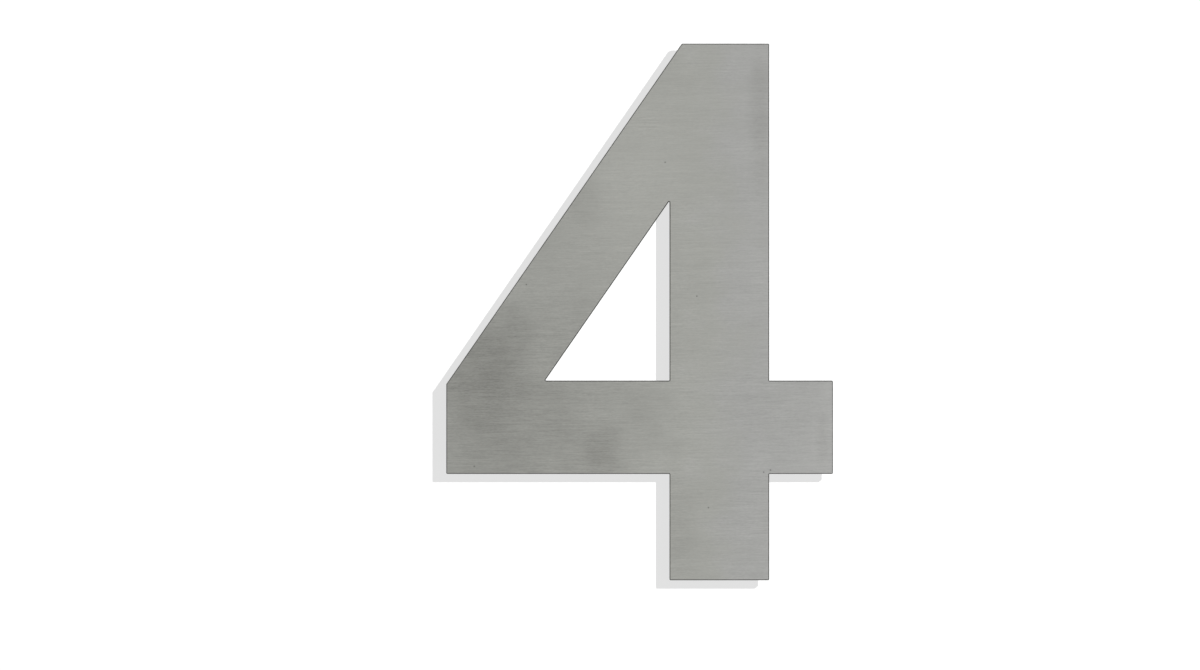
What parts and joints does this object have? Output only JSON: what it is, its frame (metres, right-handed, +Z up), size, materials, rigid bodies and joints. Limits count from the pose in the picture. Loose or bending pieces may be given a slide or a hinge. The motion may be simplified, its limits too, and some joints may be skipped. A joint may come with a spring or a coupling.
{
  "type": "house number",
  "caption": "Flat brushed stainless digit with a triangular counter, held off the wall by concealed threaded studs and round spacer sleeves.",
  "frame": {"origin": "on the wall's surface, midway between the axes of the two studs of the stem", "axes": "+X to the viewer's right, +Y into the wall along the studs, +Z up the stem"},
  "size_m": [0.1098, 0.041, 0.1524],
  "materials": {
    "plate": "brushed level",
    "studs": "rolled thread",
    "spacers": "turned"
  },
  "bodies": {
    "root": {"number_plate": "plate", "mounting_studs": "studs", "spacer_top": "spacers", "spacer_foot": "spacers", "spacer_bar": "spacers"}
  },
  "joints": []
}
